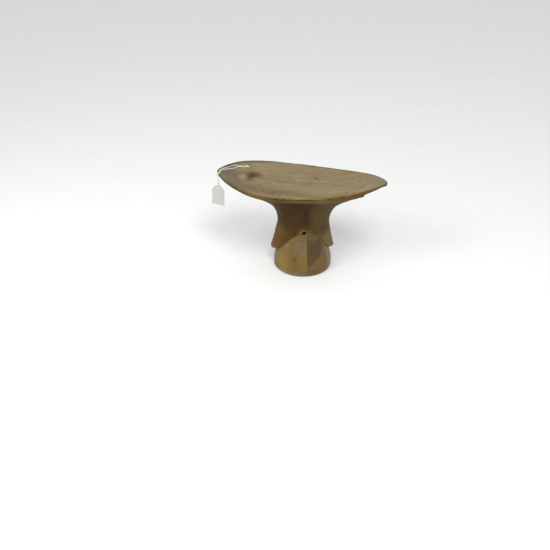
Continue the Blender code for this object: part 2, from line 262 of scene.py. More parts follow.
def mix(first, second, share):
    return first + (second - first) * share


def new_object(name, data):
    made = bpy.data.objects.new(name, data)
    bpy.context.scene.collection.objects.link(made)
    return made


def bmesh_object(name, mesh):
    data = bpy.data.meshes.new(name)
    mesh.to_mesh(data)
    mesh.free()
    return new_object(name, data)


def modify(made, kind, **settings):
    """Changes an object's own mesh with one modifier."""
    modifier = made.modifiers.new(kind, kind)
    for key, value in settings.items():
        setattr(modifier, key, value)
    depsgraph = bpy.context.evaluated_depsgraph_get()
    made.data = bpy.data.meshes.new_from_object(made.evaluated_get(depsgraph))
    made.modifiers.clear()


def shade(mesh, degrees):
    """Smooth shading, with edges sharp that turn by more than an angle."""
    mesh.shade_smooth()
    mesh.set_sharp_from_angle(angle=math.radians(degrees))


# ---------------- camera, floor and light


def camera():
    data = bpy.data.cameras.new("camera")
    data.lens = CAMERA_LENS
    data.clip_start = 0.01
    made = new_object("camera", data)
    made.location = CAMERA_PLACE
    made.rotation_euler = (math.pi / 2 - CAMERA_PITCH, 0, CAMERA_AZIMUTH)
    bpy.context.scene.camera = made


def area_light(name, place, target, size, power):
    data = bpy.data.lights.new(name, "AREA")
    data.shape = "DISK"
    data.size = size
    data.energy = power
    made = new_object(name, data)
    made.location = place
    made.rotation_euler = (Vector(target) - Vector(place)).to_track_quat("-Z", "Y").to_euler()


def studio():
    mesh = bpy.data.meshes.new("floor")
    corners = [(FLOOR_REACH * x, FLOOR_REACH * y, 0) for x, y in ((-1, -1), (1, -1), (1, 1), (-1, 1))]
    mesh.from_pydata(corners, [], [(0, 1, 2, 3)])
    floor = new_object("floor", mesh)
    paint = Surface("floor_paper")
    paint.put("Roughness", 0.8)
    paint.put("Specular IOR Level", 0.2)
    grain = paint.noise(paint.place(), 30, detail=2)
    paint.put("Base Color", paint.blend(grain, (0.80, 0.80, 0.795), (0.83, 0.83, 0.825)))
    mesh.materials.append(paint.material)

    world = bpy.data.worlds.new("studio")
    world.use_nodes = True
    background = world.node_tree.nodes["Background"]
    background.inputs["Color"].default_value = (1.0, 1.0, 1.0, 1.0)
    background.inputs["Strength"].default_value = SKY_STRENGTH
    bpy.context.scene.world = world
    bpy.context.scene.view_settings.view_transform = "Standard"
    area_light("key", *KEY_LAMP)
    area_light("fill", *FILL_LAMP)


# ---------------- materials


class Surface:
    """A material being put together: a Principled shader and the textures that drive it."""

    def __init__(self, name):
        self.material = bpy.data.materials.new(name)
        self.material.use_nodes = True
        self.tree = self.material.node_tree
        self.shader = self.tree.nodes["Principled BSDF"]

    def feed(self, node, key, value):
        """Sets one of a node's inputs, or links it where the value is a socket."""
        if isinstance(value, bpy.types.NodeSocket):
            self.tree.links.new(value, node.inputs[key])
        else:
            node.inputs[key].default_value = value

    def node(self, kind, inputs=(), **settings):
        made = self.tree.nodes.new(kind)
        for key, value in settings.items():
            setattr(made, key, value)
        for key, value in dict(inputs).items():
            self.feed(made, key, value)
        return made

    def put(self, name, value):
        self.feed(self.shader, name, value)

    def place(self, scale=(1, 1, 1)):
        """The point on the piece in metres, stretched."""
        coordinates = self.node("ShaderNodeTexCoord").outputs["Object"]
        return self.node("ShaderNodeMapping", {"Vector": coordinates, "Scale": scale}).outputs[0]

    def noise(self, vector, scale, detail=3.0, roughness=0.5, distortion=0.0):
        inputs = {"Vector": vector, "Scale": scale, "Detail": detail}
        inputs |= {"Roughness": roughness, "Distortion": distortion}
        return self.node("ShaderNodeTexNoise", inputs).outputs["Fac"]

    def math(self, operation, first, second=0.0):
        return self.node("ShaderNodeMath", {0: first, 1: second}, operation=operation).outputs[0]

    def times(self, first, second):
        return self.math("MULTIPLY", first, second)

    def range(self, value, low, high, to_low=0.0, to_high=1.0):
        inputs = {"Value": value, "From Min": low, "From Max": high, "To Min": to_low, "To Max": to_high}
        return self.node("ShaderNodeMapRange", inputs, interpolation_type="SMOOTHSTEP").outputs[0]

    def attribute(self, name):
        return self.node("ShaderNodeAttribute", attribute_name=name).outputs["Fac"]

    def blend(self, share, first, second, mode="MIX"):
        """The colour between two, each a socket or an (r, g, b)."""
        inputs = {0: share}
        for index, value in ((6, first), (7, second)):
            inputs[index] = (*value, 1.0) if isinstance(value, tuple) else value
        return self.node("ShaderNodeMix", inputs, data_type="RGBA", blend_type=mode).outputs[2]

    def bump(self, height, distance, strength=1.0, below=None):
        inputs = {"Height": height, "Distance": distance, "Strength": strength}
        if below:
            inputs["Normal"] = below
        return self.node("ShaderNodeBump", inputs).outputs[0]


WOOD_DEEP = (0.150, 0.098, 0.032)
WOOD_MID = (0.225, 0.155, 0.052)
WOOD_LIGHT = (0.285, 0.205, 0.085)
WOOD_WARM = (0.225, 0.126, 0.022)
WOOD_OCHRE = (0.255, 0.150, 0.040)
WOOD_PALE_AND_HIGHLIGHT = (0.262, 0.220, 0.128)
WOOD_FRESH = (0.355, 0.205, 0.085)
WOOD_WORN_AND_HIGHLIGHT = (0.330, 0.255, 0.120)
WOOD_PORE = (0.045, 0.030, 0.014)
STAIN_AND_SHADE_TINT = (0.165, 0.105, 0.040)
GREY_FILM_AND_REFLECTION = (0.208, 0.180, 0.126)
DUST_DARK = (0.158, 0.115, 0.062)
DUST_LIGHT = (0.262, 0.211, 0.109)
DUST_ROSE = (0.216, 0.162, 0.102)


def growth_rings(paint):
    """Rings by the distance from the log's heart, which runs along X behind and below the piece."""
    along_log = paint.place((0.10, 1.0, 1.0))
    heart = paint.node("ShaderNodeVectorMath", {0: along_log, 1: (0, 0.055, -0.045)}, operation="SUBTRACT")
    depth = paint.node("ShaderNodeVectorMath", {0: heart.outputs[0]}, operation="LENGTH").outputs["Value"]
    drift = paint.noise(paint.place(), 26, detail=2)
    depth = paint.math("ADD", depth, paint.times(drift, 0.014))
    depth = paint.math("ADD", depth, paint.attribute("grain_bend"))
    spacing = paint.node("ShaderNodeCombineXYZ", {"X": depth})
    return paint.noise(spacing.outputs[0], 420, detail=3, roughness=0.7)


def wood():
    """Old hardwood cut along the platform: fibres, pores and faint rings under a worn, dusty patina."""
    paint = Surface("carved_wood")
    place = paint.place()
    ring = growth_rings(paint)
    fibre = paint.noise(paint.place((70, 1500, 1500)), 1, detail=4, roughness=0.65)
    streak = paint.noise(paint.place((26, 64, 64)), 1, detail=5, roughness=0.62, distortion=1.1)
    fine_streak = paint.noise(paint.place((45, 420, 420)), 1, detail=3, roughness=0.6)
    pores = paint.noise(paint.place((160, 2600, 2600)), 1, detail=1)
    pores = paint.range(pores, 0.66, 0.74)
    blotch = paint.noise(place, 75, detail=4, roughness=0.6)
    broad = paint.noise(place, 24, detail=3)
    rosy = paint.noise(paint.place((22, 40, 40)), 1, detail=3, distortion=0.4)

    colour = paint.blend(paint.range(broad, 0.34, 0.60), WOOD_DEEP, WOOD_MID)
    colour = paint.blend(paint.range(blotch, 0.50, 0.68, 0.0, 0.45), colour, WOOD_OCHRE)
    colour = paint.blend(paint.range(ring, 0.42, 0.66, 0.0, 0.34), colour, WOOD_LIGHT)
    colour = paint.blend(paint.range(fibre, 0.35, 0.75, 0.0, 0.28), colour, WOOD_LIGHT)
    colour = paint.blend(paint.attribute("warm"), colour, WOOD_WARM)
    film = paint.blend(paint.range(streak, 0.34, 0.66), DUST_DARK, DUST_LIGHT)
    film = paint.blend(paint.range(rosy, 0.46, 0.60, 0.0, 0.8), film, DUST_ROSE)
    film = paint.blend(paint.range(fine_streak, 0.45, 0.70, 0.0, 0.22), film, DUST_DARK)
    film = paint.blend(paint.times(fibre, 0.35), film, DUST_LIGHT)
    # the pale, grey and wear masks hold painted highlights and a painted reflection besides real marks
    for mask, tint in (("dust", film), ("pale", WOOD_PALE_AND_HIGHLIGHT), ("grey", GREY_FILM_AND_REFLECTION), ("fresh", WOOD_FRESH)):
        colour = paint.blend(paint.attribute(mask), colour, tint)
    worn_and_highlit = paint.times(paint.attribute("wear"), paint.range(blotch, 0.30, 0.62))
    colour = paint.blend(worn_and_highlit, colour, WOOD_WORN_AND_HIGHLIGHT)
    colour = paint.blend(paint.times(pores, 0.60), colour, WOOD_PORE)
    uneven = paint.range(fibre, 0.30, 0.70, 0.97, 1.0)
    uneven = paint.times(uneven, paint.range(blotch, 0.25, 0.75, 0.90, 1.0))
    # the stain mask also holds painted shade: under the platform and inside the holes
    stain = paint.times(paint.attribute("stain"), uneven)
    colour = paint.blend(stain, colour, paint.blend(1.0, colour, STAIN_AND_SHADE_TINT, mode="MULTIPLY"))
    paint.put("Base Color", colour)

    gloss = paint.range(broad, 0.3, 0.7, 0.50, 0.64)
    gloss = paint.math("ADD", gloss, paint.times(paint.attribute("dust"), 0.14))
    paint.put("Roughness", paint.math("SUBTRACT", gloss, paint.times(worn_and_highlit, 0.14)))
    paint.put("Specular IOR Level", 0.10)

    relief = paint.bump(fibre, 0.00030, 0.65)
    relief = paint.bump(ring, 0.00016, 0.45, relief)
    relief = paint.bump(paint.math("SUBTRACT", 1.0, pores), 0.00020, 0.5, relief)
    relief = paint.bump(paint.noise(place, 420, detail=3), 0.00030, 0.35, relief)
    paint.put("Normal", relief)
    return paint.material


def cotton():
    paint = Surface("cotton_string")
    fibre = paint.noise(paint.place((9000, 9000, 3000)), 1, detail=3)
    soil = paint.noise(paint.place(), 160, detail=2)
    colour = paint.blend(fibre, (0.54, 0.51, 0.44), (0.80, 0.77, 0.70))
    colour = paint.blend(paint.range(soil, 0.5, 0.8, 0.0, 0.35), colour, (0.55, 0.50, 0.42))
    paint.put("Base Color", colour)
    paint.put("Roughness", paint.range(fibre, 0.2, 0.8, 0.80, 0.95))
    paint.put("Sheen Weight", 0.25)
    paint.put("Normal", paint.bump(fibre, 0.00008, 0.7))
    return paint.material


def card():
    paint = Surface("plain_card")
    pulp = paint.noise(paint.place(), 900, detail=4, roughness=0.6)
    cloud = paint.noise(paint.place(), 120, detail=2)
    colour = paint.blend(pulp, (0.432, 0.432, 0.422), (0.500, 0.500, 0.488))
    colour = paint.blend(paint.range(cloud, 0.4, 0.8, 0.0, 0.5), colour, (0.428, 0.424, 0.409))
    handled = paint.times(paint.attribute("handled"), 0.6)
    colour = paint.blend(handled, colour, (0.48, 0.46, 0.42))
    paint.put("Base Color", colour)
    paint.put("Roughness", paint.range(pulp, 0.3, 0.7, 0.70, 0.85))
    paint.put("Normal", paint.bump(pulp, 0.00005, 0.6))
    return paint.material


# ---------------- the carving's shape


def outline(turn):
    """The platform's edge seen from above, x and y, at a turn round its widest place."""
    cosine = np.cos(turn)
    sine = np.sin(turn)
    right = cosine > 0
    reach = np.where(right, RIGHT_TIP_X - WIDEST_X, WIDEST_X - LEFT_TIP_X)
    power = np.where(right, RIGHT_POWER, LEFT_POWER)
    x = WIDEST_X + reach * cosine
    along = np.maximum(0, (WIDEST_X - x) / (WIDEST_X - LEFT_TIP_X))
    return x, LEFT_TIP_LEAN * along**3 + np.copysign(HALF_WIDTH * np.abs(sine) ** power, sine)


def outline_table():
    """Directions and distances of the platform's edge, all the way round."""
    x, y = outline(np.linspace(0, math.tau, OUTLINE_POINTS))
    return np.unwrap(np.arctan2(y, x)), np.hypot(x, y)


OUTLINE = outline_table()


def platform_radius(direction):
    return np.interp(np.mod(direction, math.tau), *OUTLINE)


def rim_edge(direction):
    """The rim's edge in a direction: how far out it is, and where."""
    outer = platform_radius(direction)
    return outer, outer * np.cos(direction), outer * np.sin(direction)


def rim_top(x):
    share = np.clip(np.abs(x) / RIM_RISE_REACH, 0, 1)
    return RIM_LOW_Z + RIM_RISE * np.sin(share * math.pi / 2) ** 4


def rim_thickness(x, y):
    swing = np.clip(np.abs(x) / RIM_RISE_REACH, 0, 1) * math.pi / 2
    left = mix(RIM_THICK_LEFT, RIM_THICK_MID, np.cos(swing))
    whole = mix(RIM_THICK_MID, RIM_THICK_RIGHT, np.sin(swing))
    chipped = mix(CHIP_THICK, CHIP_THICK_TIP, (x - CHIP_X) / (RIGHT_TIP_X - CHIP_X))
    loss = smooth(x, CHIP_X - 0.0006, CHIP_X + 0.0006) * np.clip(0.5 - y / CHIP_FADE, 0, 1)
    return np.where(x < 0, left, mix(whole, chipped, loss))


def top_height(x, y):
    share = np.hypot(x, y) / platform_radius(np.arctan2(y, x))
    return rim_top(x) - DISH_DEPTH * (1 - share**2)


def foot_radius(z):
    rise = np.maximum(0, z - FOOT_WIDEST_Z) / FOOT_TAPER
    return mix(FOOT_CORE, FOOT_RADIUS, 1 / (1 + rise**2))


def waist_radius(direction):
    return 1 / np.hypot(np.cos(direction) / WAIST_HALF_LONG, np.sin(direction) / WAIST_HALF_SHORT)


def skirt_side(direction):
    turn = np.abs(np.arctan2(np.sin(direction), np.cos(direction)))
    right = turn < PEAK_TURN
    return right, np.where(right, turn / PEAK_TURN, (math.pi - turn) / (math.pi - PEAK_TURN))


def skirt_edge(direction):
    right, share = skirt_side(direction)
    climb = mix(share, smooth(share, RIGHT_STEP_START, RIGHT_STEP_END), RIGHT_STEP_PART)
    swayed = share - LEFT_SWAY * np.sin(math.tau * share) / math.tau
    return np.where(right, mix(RIGHT_LUG_Z, PEAK_Z, climb), mix(LEFT_LUG_Z, PEAK_Z, swayed))


def skirt_lip(direction):
    """The lip's radius, the height of the ledge below it, and the lip's own height."""
    right, share = skirt_side(direction)
    fade = (1 - share) ** np.where(right, RIGHT_FADE, LEFT_FADE)
    edge = skirt_edge(direction)
    lip = foot_radius(edge) + LEAST_OVERHANG + np.where(right, RIGHT_OVERHANG, LEFT_OVERHANG) * fade
    ledge_z = edge + np.where(right, RIGHT_LUG_RISE, LEFT_LUG_RISE) * fade
    return lip, ledge_z, ledge_z + LEAST_OVERHANG + np.where(right, RIGHT_LIP, LEFT_LIP) * fade


def flatten(direction, first, last):
    """The share of the radius that a flat face between two directions, in degrees, takes off."""
    half = np.radians((last - first) / 2)
    off = np.mod(direction - np.radians((last + first) / 2) + math.pi, math.tau) - math.pi
    inside = np.abs(off) < half
    return np.where(inside, 1 - np.cos(half) / np.cos(np.where(inside, off, 0)), 0)


def neck_faces(direction, z):
    following = NECK_ARRISES[1:] + (NECK_ARRISES[0] + 360,)
    taken = sum(flatten(direction, first, last) for first, last in zip(NECK_ARRISES, following))
    reach = smooth(z, 0.058, 0.068) * smooth(z, 0.112, 0.094)
    return NECK_FLATNESS * taken * reach


def foot_face_end(z):
    """Where the face to the right of the foot's arris ends, in degrees: it is a triangle, point down."""
    lower = FOOT_ARRIS + 4 + 43 * smooth(z, 0.002, 0.040)
    upper = FOOT_ARRIS + 50 * np.clip((0.054 - z) / 0.022, 0, 1)
    return np.minimum(lower, upper)


def foot_faces(direction, z):
    right = flatten(direction, FOOT_ARRIS, foot_face_end(z))
    left = flatten(direction, FOOT_ARRIS - 30, FOOT_ARRIS)
    reach = smooth(z, 0.004, 0.012) * smooth(z, 0.056, 0.050)
    return (0.45 * right + 0.40 * left) * reach


def profiles(direction):
    """Radii and heights of the rows of points, from the base's middle round to the top's middle."""
    rows = []
    edge = skirt_edge(direction)
    lip, ledge_z, lip_z = skirt_lip(direction)
    waist = waist_radius(direction)
    outer, x, y = rim_edge(direction)
    top = rim_top(x)
    bottom = top - rim_thickness(x, y)
    same = np.ones_like(direction)

    round_off = 2 * FOOT_EDGE
    base_reach = FOOT_RADIUS - round_off
    for step in np.linspace(0.15, 1, BASE_ROWS):
        rows.append((base_reach * step * same, 0 * same))
    for turn in np.radians((22, 45, 68, 90)):
        rows.append(((base_reach + round_off * np.sin(turn)) * same, round_off * (1 - np.cos(turn)) * same))
    for step in np.linspace(0, 1, FOOT_ROWS)[1:]:
        z = mix(round_off, edge, step)
        rows.append((foot_radius(z), z))
    foot_top = foot_radius(edge)
    round_in = (lip - foot_top) * 0.8
    for step in np.linspace(0, 1, LEDGE_ROWS)[1:]:
        rows.append((foot_top + round_in * step, mix(edge, ledge_z, step)))
    for step in (0.25, 0.5, 0.75):
        r = mix(foot_top + round_in, lip, 1 - (1 - step) ** 2)
        rows.append((r, mix(ledge_z, lip_z, step**2)))
    for step in np.linspace(0, 1, SKIRT_ROWS, endpoint=False):
        rows.append((mix(waist, lip, (1 - step) ** SKIRT_POWER), mix(lip_z, WAIST_Z, step)))
    for step in np.linspace(0, 1, FLARE_ROWS) ** FLARE_CROWDING:
        rows.append((mix(waist, outer - RIM_ROUND, step), mix(WAIST_Z, bottom, step**FLARE_POWER)))
    for turn in np.radians((30, 60, 90)):
        r = outer - RIM_ROUND * (1 - np.sin(turn))
        rows.append((r, bottom + RIM_ROUND * (1 - np.cos(turn))))
    for step in np.linspace(0, 1, RIM_ROWS + 2)[1:-1]:
        rows.append((outer, mix(bottom + RIM_ROUND, top - RIM_WEAR, step)))
    for turn in np.radians((0, 22, 45, 68)):
        r = outer - RIM_WEAR * (1 - np.cos(turn))
        rows.append((r, top - RIM_WEAR * (1 - np.sin(turn))))
    for step in 1 - np.linspace(0, 1, TOP_ROWS, endpoint=False) ** 1.1:
        r = (outer - RIM_WEAR) * step
        rows.append((r, top_height(r * np.cos(direction), r * np.sin(direction))))
    return [np.array(column) for column in zip(*rows)]


def noise_at(points, scale, seed=0.0):
    """Smooth noise between about -1 and 1, with one feature per metre divided by scale."""
    scaled = points * np.array(scale)
    return np.array([noise.noise(Vector((x + seed, y, z))) for x, y, z in scaled])


def scallops(points, scale):
    """Shallow overlapping hollows, as a blade leaves: 0 in a hollow's middle, up to 1 at its edges."""
    found = [noise.voronoi(Vector(place))[0][0] for place in points * np.array(scale)]
    return np.clip(np.array(found), 0, 1) ** 2


def dent_marks(points):
    """Small knocks in the rim's edges, each a soft hollow."""
    chance = random.Random(11)
    depth = np.zeros(len(points))
    for _ in range(DENTS):
        _, x, y = rim_edge(chance.uniform(0, math.tau))
        z = rim_top(x) - chance.choice((0.0002, 0.0005, rim_thickness(x, y)))
        width = chance.uniform(0.0012, 0.0032)
        away = np.linalg.norm(points - np.array((x, y, z)), axis=1)
        depth += chance.uniform(0.00015, 0.00050) * bell(away, width)
    return depth


def carving_grid():
    even = math.tau * np.arange(COLUMNS) / COLUMNS
    direction = even - COLUMN_CROWDING / 2 * np.sin(2 * even)
    radii, heights = profiles(direction)
    turned = np.broadcast_to(direction, radii.shape)
    on_column = smooth(heights, 0.116, 0.108)
    radii = radii * (1 - (neck_faces(turned, heights) + foot_faces(turned, heights)) * on_column)
    return np.stack([radii * np.cos(turned), radii * np.sin(turned), heights], axis=-1)


def grid_mesh(grid, low_middle, high_middle):
    """A closed skin over a grid of points whose columns run round an axis."""
    count_rows, count_columns, _ = grid.shape
    index = np.arange(count_rows * count_columns).reshape(count_rows, count_columns)
    following = np.roll(index, -1, axis=1)
    quads = np.stack([index[:-1], following[:-1], following[1:], index[1:]], axis=-1).reshape(-1, 4)
    low = count_rows * count_columns
    high = low + 1
    faces = quads.tolist()
    faces += [(low, int(b), int(a)) for a, b in zip(index[0], following[0])]
    faces += [(high, int(a), int(b)) for a, b in zip(index[-1], following[-1])]
    points = grid.reshape(-1, 3).tolist() + [low_middle, high_middle]
    mesh = bpy.data.meshes.new("carved_headrest_skin")
    mesh.from_pydata(points, [], faces)
    return mesh


def read_vectors(items, name):
    values = np.zeros(len(items) * 3)
    items.foreach_get(name, values)
    return values.reshape(-1, 3)


def upward(points, normals):
    """1 on the platform's top, 0 elsewhere."""
    return smooth(normals[:, 2], 0.55, 0.85) * smooth(points[:, 2], 0.110, 0.118)


def from_spot(points, place, half):
    """The distance from a place on the top, seen from above, as a share of the half sizes."""
    return np.hypot((points[:, 0] - place[0]) / half[0], (points[:, 1] - place[1]) / half[1])


def spots(points, marks):
    """The sum of soft spots on the top."""
    return sum(share * bell(from_spot(points, place, half), 1) for place, half, share in marks)


def band(value, low, high, soft):
    """1 between low and high, 0 outside, with edges that are soft by that much either way."""
    return smooth(value, low - soft, low + soft) * smooth(value, high + soft, high - soft)


def between(place, pairs):
    """A value given at a few places or directions, in degrees, and blended between them."""
    return np.interp(place, *zip(*pairs))


# how dark the old oil and smoke stain is round the neck, the skirt and the foot: (direction, share);
# on the neck and the skirt part of this darkness is painted shade from the platform above
NECK_STAIN_AND_SHADE = (
    (-180, 0.92), (-135, 0.98), (-118, 1.0), (-73, 1.0), (-68, 0.88), (-45, 0.83), (0, 0.84),
    (45, 0.88), (68, 1.0), (112, 1.0), (125, 0.95), (180, 0.90),
)
SKIRT_STAIN_AND_SHADE = (
    (-180, 0.60), (-150, 0.72), (-126, 0.86), (-104, 0.90), (-97, 0.66), (-90, 0.58), (-60, 0.60),
    (-42, 0.58), (-24, 0.50), (10, 0.42), (45, 0.55), (75, 0.62), (96, 0.60), (106, 0.82), (140, 0.66),
    (180, 0.48),
)
FOOT_STAIN = (
    (-180, 0.08), (-125, 0.04), (-104, 0.32), (-92, 0.42), (-76, 0.42), (-72, 0.56), (-24, 0.50),
    (-20, 0.18), (10, 0.12), (40, 0.40), (75, 0.50), (100, 0.30), (130, 0.12), (180, 0.08),
)
# where the dark neck, partly painted shade from the platform, ends below: (direction, height)
NECK_DARK_END = (
    (-116, 0.068), (-103, 0.060), (-94, 0.066), (-86, 0.071), (-66, 0.067), (-56, 0.061),
    (-45, 0.058), (-29, 0.060), (20, 0.062), (60, 0.066), (84, 0.072), (100, 0.062), (118, 0.068),
)
# and how softly it ends there: (direction, height either way)
NECK_DARK_SOFT = (
    (-118, 0.012), (-103, 0.003), (-84, 0.0026), (-62, 0.0045), (-30, 0.010), (40, 0.010), (84, 0.003),
    (104, 0.003), (120, 0.012),
)
# how dark the rim's side is: (place along the platform, share)
RIM_STAIN = (
    (-0.12, 0.72), (-0.09, 0.66), (-0.05, 0.60), (-0.02, 0.70), (0.01, 0.70), (0.05, 0.62), (0.066, 0.66),
    (0.092, 0.66), (0.11, 0.60),
)
# small dark marks on the foot: (direction, height, size, share)
FOOT_MARKS = (
    (-102, 0.025, 0.0022, 0.30),
    (-81, 0.028, 0.0018, 0.28),
    (118, 0.030, 0.0024, 0.30),
)
NECK_STREAKS = (-52, -41, -33, 47, 58)   # directions of the neck's faint lighter streaks


class Skin:
    """The carving's points, what its masks are worked out from, and the masks: a number per point each."""

    def __init__(self, points, normals):
        self.points = points
        self.x, self.y, self.z = points.T
        self.direction = np.arctan2(self.y, self.x)
        self.turn = np.degrees(self.direction)
        self.radius = np.hypot(self.x, self.y)
        self.rough = noise_at(points, (90, 90, 90))
        self.soft = noise_at(points, (32, 32, 32), 5.0)

        # the rim's edge straight out from each point, and the rim's height there
        self.outer, self.edge_x, self.edge_y = rim_edge(self.direction)
        self.top = rim_top(self.edge_x)
        self.bottom = self.top - rim_thickness(self.edge_x, self.edge_y)
        self.near_side = smooth(-self.edge_y, 0.020, 0.036)

        # which part each point is on
        self.on_top = upward(points, normals)
        self.column = smooth(self.z - self.bottom, 0.0, -0.0012) * (1 - self.on_top)
        above = smooth(self.z - skirt_edge(self.direction), 0.0, 0.0008)
        self.on_skirt = above * self.column
        self.on_foot = (1 - above) * self.column
        rim_side = smooth(self.z - self.bottom, 0.0, 0.0008) * (1 - self.on_top)
        self.rim_side = rim_side * smooth(self.radius - self.outer, -0.0012, -0.0004)
        self.masks = {}


def neck_stain_and_shade(skin):
    """How dark the neck and the skirt are: old stain, and painted shade from the platform above."""
    dark_end = between(skin.turn, NECK_DARK_END) + 0.0012 * skin.rough
    on_neck = smooth((skin.z - dark_end) / between(skin.turn, NECK_DARK_SOFT), -1, 1)
    skirt = between(skin.turn, SKIRT_STAIN_AND_SHADE) * (1 + 0.07 * skin.soft)
    return mix(skirt, between(skin.turn, NECK_STAIN_AND_SHADE), on_neck)


def foot_facet(skin):
    """1 on the dark face to the right of the foot's arris, which narrows downwards."""
    end = FOOT_ARRIS + 8 + 42 * smooth(skin.z, 0.002, 0.036) + 5 * skin.soft
    facet = smooth(skin.turn, FOOT_ARRIS, FOOT_ARRIS + 1.0) * smooth(skin.turn - end, 9, -16)
    return facet * smooth(skin.z, 0.004, 0.018) * smooth(skin.z, 0.060, 0.050)


def foot_stain(skin, facet):
    foot = between(skin.turn, FOOT_STAIN) + 0.16 * skin.soft
    foot = np.maximum(foot, 0.78 * facet)
    below_peak = smooth(skin.turn, FOOT_ARRIS, FOOT_ARRIS + 1.5) * smooth(skin.turn, -36, -48)
    foot = np.maximum(foot, 0.60 * below_peak * smooth(skin.z, 0.044, 0.054))
    for turn, z, size, share in FOOT_MARKS:
        away = np.hypot(np.radians(skin.turn - turn) * FOOT_RADIUS, (skin.z - z) / 1.6)
        foot = foot + share * bell(away, size)
    return foot


# the stain here holds painted shade under the platform as well as old stain
def column_stain_and_shade(skin, facet):
    foot = foot_stain(skin, facet) * skin.on_foot
    stain = np.where(skin.on_foot > 0.5, foot, neck_stain_and_shade(skin) * skin.on_skirt)
    for turn in NECK_STREAKS:
        stain -= 0.05 * bell(skin.turn - turn, 2.2) * band(skin.z, 0.074, 0.104, 0.008)
    underside = smooth(skin.radius, 0.050, 0.090) * smooth(skin.z, 0.098, 0.106) * skin.column
    stain *= 1 - (0.34 - 0.34 * smooth(skin.x, 0, 0.04)) * underside
    lug_bottom = smooth(np.abs(skin.turn), 138, 158) * smooth(skin.z, 0.040, 0.026) * skin.on_skirt
    skin.masks["stain"] = stain - 0.16 * lug_bottom


def column_warmth(skin):
    """Where the wood's own warm brown shows."""
    side = np.abs(skin.turn)
    z = skin.z
    warm_skirt = smooth(side, 108, 146) * smooth(z, 0.076, 0.040) * skin.on_skirt
    warm_neck = 0.55 * band(side, 108, 158, 10) * band(z, 0.060, 0.108, 0.012) * skin.on_skirt
    half_warm = 0.30 * smooth(side, 84, 104) * smooth(z, 0.072, 0.056) * skin.on_skirt
    rosy_skirt = 0.5 * band(skin.turn, -48, -36, 5) * band(z, 0.042, 0.060, 0.005)
    low_foot = 0.60 * band(side, 98, 136, 12) * band(z, 0.010, 0.026, 0.006) * skin.on_foot
    warm = np.maximum.reduce([warm_skirt, warm_neck, half_warm, rosy_skirt, low_foot])
    skin.masks["warm"] = warm + 0.15 * skin.column * np.clip(skin.rough, 0, 1)


def column_grey_and_highlight(skin, facet):
    """Where a grey film of handling lies, with a painted highlight beside the foot's arris."""
    turn = skin.turn
    side = np.abs(turn)
    z = skin.z
    foot = 0.80 * smooth(turn, -24, -20) * smooth(turn, 40, 20) * skin.on_foot
    foot += 0.45 * smooth(side, 150, 168) * skin.on_foot
    foot += 0.40 * band(turn, -66, -24, 8) * skin.on_foot * smooth(skin.soft, -0.3, 0.5)
    # painted highlight on the face beside the foot's arris, greyed
    foot += 0.34 * band(side, 72, 104, 9) * band(z, 0.034, 0.058, 0.008) * skin.on_foot
    hem = 0.8 * smooth(z, 0.0075, 0.0030) * skin.on_foot
    right_lug = 0.15 * smooth(turn, -30, -12) * smooth(turn, 30, 12) * skin.on_skirt
    right_lug = right_lug * smooth(z, 0.066, 0.050)
    flare = 0.22 * smooth(turn, -40, -10) * smooth(z, 0.096, 0.112) * skin.column
    skin.masks["grey"] = np.maximum.reduce([foot, 0.30 * facet, hem, right_lug, flare])


def column_wear(skin):
    lip, _, lip_z = skirt_lip(skin.direction)
    lip_edge = bell(np.hypot(skin.radius - lip, skin.z - lip_z), 0.0014)
    foot_edge = bell(np.hypot(skin.radius - FOOT_RADIUS, skin.z - FOOT_EDGE), 0.0016)
    skin.masks["wear"] = 0.10 * lip_edge + 0.42 * foot_edge


def border_masks(skin):
    """The rim's side, and a dark border just inside the near rim that holds little dust."""
    masks = skin.masks
    lean = np.abs(np.cos(skin.direction - np.arctan2(skin.edge_y, skin.edge_x + 0.02)))
    from_edge = (skin.outer - skin.radius) * lean
    border = skin.near_side * smooth(from_edge + 0.0012 * skin.soft, 0.0062, 0.0030)
    masks["dust"] = skin.on_top * np.clip(0.92 + 0.15 * skin.soft, 0, 1) * (1 - 0.85 * border)

    side_stain = between(skin.edge_x, RIM_STAIN) + 0.10 * skin.soft
    masks["stain"] = np.where(skin.rim_side > 0.5, side_stain, masks["stain"])
    arris = 0.42 * bell(skin.z - skin.top + RIM_WEAR, 0.0007) * skin.rim_side * skin.near_side
    masks["stain"] += arris * smooth(skin.rough, -0.4, 0.3)
    shades = spots(skin.points, TOP_SHADES) * (1 + 0.35 * skin.soft) * (1 - border)
    masks["stain"] += (shades + 0.34 * border) * skin.on_top
    return from_edge


def tip_masks(skin, from_edge):
    """Grey tips, and a far edge greyed by a painted reflection of grazing light, and darkened."""
    masks = skin.masks
    left_tip = smooth(-skin.x - 0.35 * skin.y, 0.078, 0.100) * skin.on_top
    right_tip = smooth(skin.x, 0.082, 0.104) * skin.on_top
    far_reach = 0.0050 + 0.0050 * smooth(-skin.x, 0.030, 0.070)
    far_edge_reflection = smooth(skin.edge_y, 0.010, 0.022) * skin.on_top
    far_edge_reflection = far_edge_reflection * smooth(from_edge, 1.2 * far_reach, 0.25 * far_reach)
    rim_tips = np.maximum(smooth(skin.edge_x, 0.080, 0.096), 0.6 * smooth(-skin.edge_x, 0.080, 0.100))
    tips = np.maximum.reduce([0.85 * left_tip, 0.55 * right_tip, 0.8 * skin.rim_side * rim_tips])
    masks["grey"] = np.maximum.reduce([masks["grey"], tips, 0.60 * far_edge_reflection])
    far_share = 0.34 + 0.22 * smooth(-skin.x, 0.030, 0.060)
    masks["stain"] += 0.30 * left_tip + 0.10 * right_tip + far_share * far_edge_reflection


